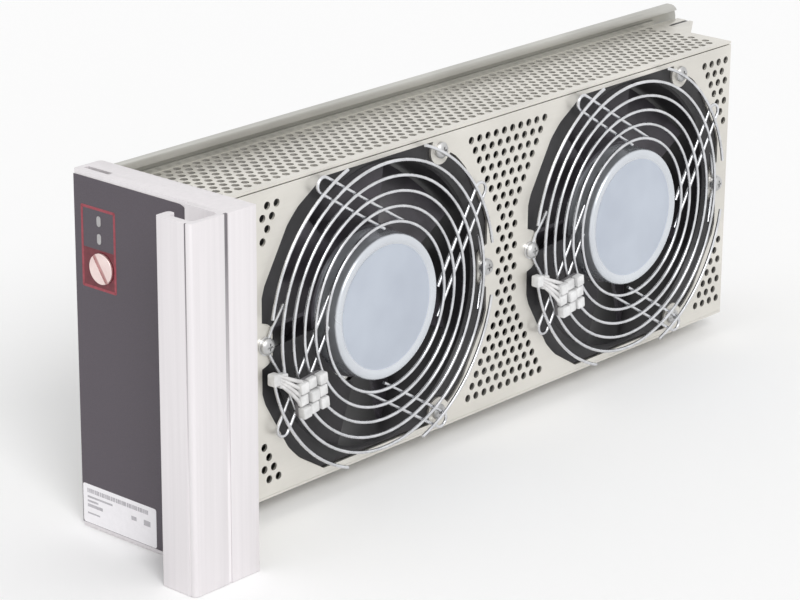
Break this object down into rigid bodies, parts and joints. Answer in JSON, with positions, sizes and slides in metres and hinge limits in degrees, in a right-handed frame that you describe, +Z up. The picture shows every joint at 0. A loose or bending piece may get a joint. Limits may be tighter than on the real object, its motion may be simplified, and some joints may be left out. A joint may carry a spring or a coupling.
{
  "type": "server fan tray",
  "caption": "Slide-in fan tray for a server chassis: perforated sheet box with side-blowing guarded axial fans, front bezel with pull handle and turn lock.",
  "frame": {"origin": "bottom centre of the whole tray's box at rest", "axes": "+Y from the pull handle to the rear connector, +X out of the guarded fan side, +Z up"},
  "size_m": [0.102, 0.4814, 0.1804],
  "materials": {
    "bezel_aluminium": "fine satin, near white",
    "overlay_film": "dark film with a fine matte grain",
    "indicator_lens": "clear moulded window, unlit",
    "indicator_chip": "small indicator chip",
    "board_laminate": "green laminate",
    "zinc_sheet": "zinc plated sheet, slightly warm",
    "lock_metal": "satin slotted head",
    "plated_steel": "bright plated",
    "connector_body": "black moulding",
    "contact_metal": "plated contacts",
    "ribbon_jacket": "grey flat lead",
    "fan_frame": "black painted casting",
    "bearing_steel": "ground races",
    "motor_iron": "stacked laminations",
    "winding_copper": "enamelled wire",
    "motor_cap": "pale zinc plated cup with a bright rim",
    "rotor_iron": "laminated core",
    "shaft_steel": "ground shaft",
    "blade_black": "black blades",
    "guard_wire": "bright nickel plated wire",
    "plug_nylon": "white nylon"
  },
  "bodies": {
    "chassis": {"bottom_plate": "zinc_sheet", "bulkhead_screws": "plated_steel", "chassis_rivets": "plated_steel", "connector_contacts": "contact_metal", "corner_screws": "plated_steel", "fan_1_bearings": "bearing_steel", "fan_1_guard": "guard_wire", "fan_1_housing": "fan_frame", "fan_1_lead_plug": "plug_nylon", "fan_1_stator": "motor_iron", "fan_1_windings": "winding_copper", "fan_2_bearings": "bearing_steel", "fan_2_guard": "guard_wire", "fan_2_housing": "fan_frame", "fan_2_lead_plug": "plug_nylon", "fan_2_stator": "motor_iron", "fan_2_windings": "winding_copper", "fan_screws": "plated_steel", "fan_side_panel": "zinc_sheet", "front_bezel": "bezel_aluminium", "front_bulkhead": "zinc_sheet", "front_overlay": "overlay_film", "guide_bracket": "zinc_sheet", "handle_screws": "plated_steel", "led_board": "board_laminate", "pull_handle": "bezel_aluminium", "rail_wall": "zinc_sheet", "rear_connector": "connector_body", "rear_plate": "zinc_sheet", "ribbon_lead": "ribbon_jacket", "status_leds": "indicator_chip", "status_lenses": "indicator_lens", "tongue_rivets": "plated_steel", "top_cover": "zinc_sheet"},
    "lock": {"lock_screw": "lock_metal", "lock_cam": "plated_steel"},
    "tongue": {"latch_tongue": "plated_steel"},
    "fan_1_rotor": {"fan_1_rotor_cap": "motor_cap", "fan_1_rotor_core": "rotor_iron", "fan_1_shaft": "shaft_steel", "fan_1_impeller": "blade_black"},
    "fan_2_rotor": {"fan_2_rotor_cap": "motor_cap", "fan_2_rotor_core": "rotor_iron", "fan_2_shaft": "shaft_steel", "fan_2_impeller": "blade_black"}
  },
  "joints": [
    {"name": "fan_1_spin", "type": "hinge", "parent": "chassis", "child": "fan_1_rotor", "pos_m": [-0.009, -0.07185, 0.0902], "axis": [1, 0, 0], "continuous": true},
    {"name": "fan_2_spin", "type": "hinge", "parent": "chassis", "child": "fan_2_rotor", "pos_m": [-0.009, 0.12695, 0.0902], "axis": [1, 0, 0], "continuous": true},
    {"name": "lock_turn", "type": "hinge", "parent": "chassis", "child": "lock", "pos_m": [-0.0317, -0.21425, 0.1353], "axis": [0, 1, 0], "range_deg": [0, 95]},
    {"name": "tongue_slide", "type": "slide", "parent": "chassis", "child": "tongue", "axis": [0, 0, 1], "range_m": [0, 0.00877]}
  ],
  "couplings": [
    {"joint": "lock_turn", "follows": "tongue_slide", "rad_per_m": 179.15}
  ]
}
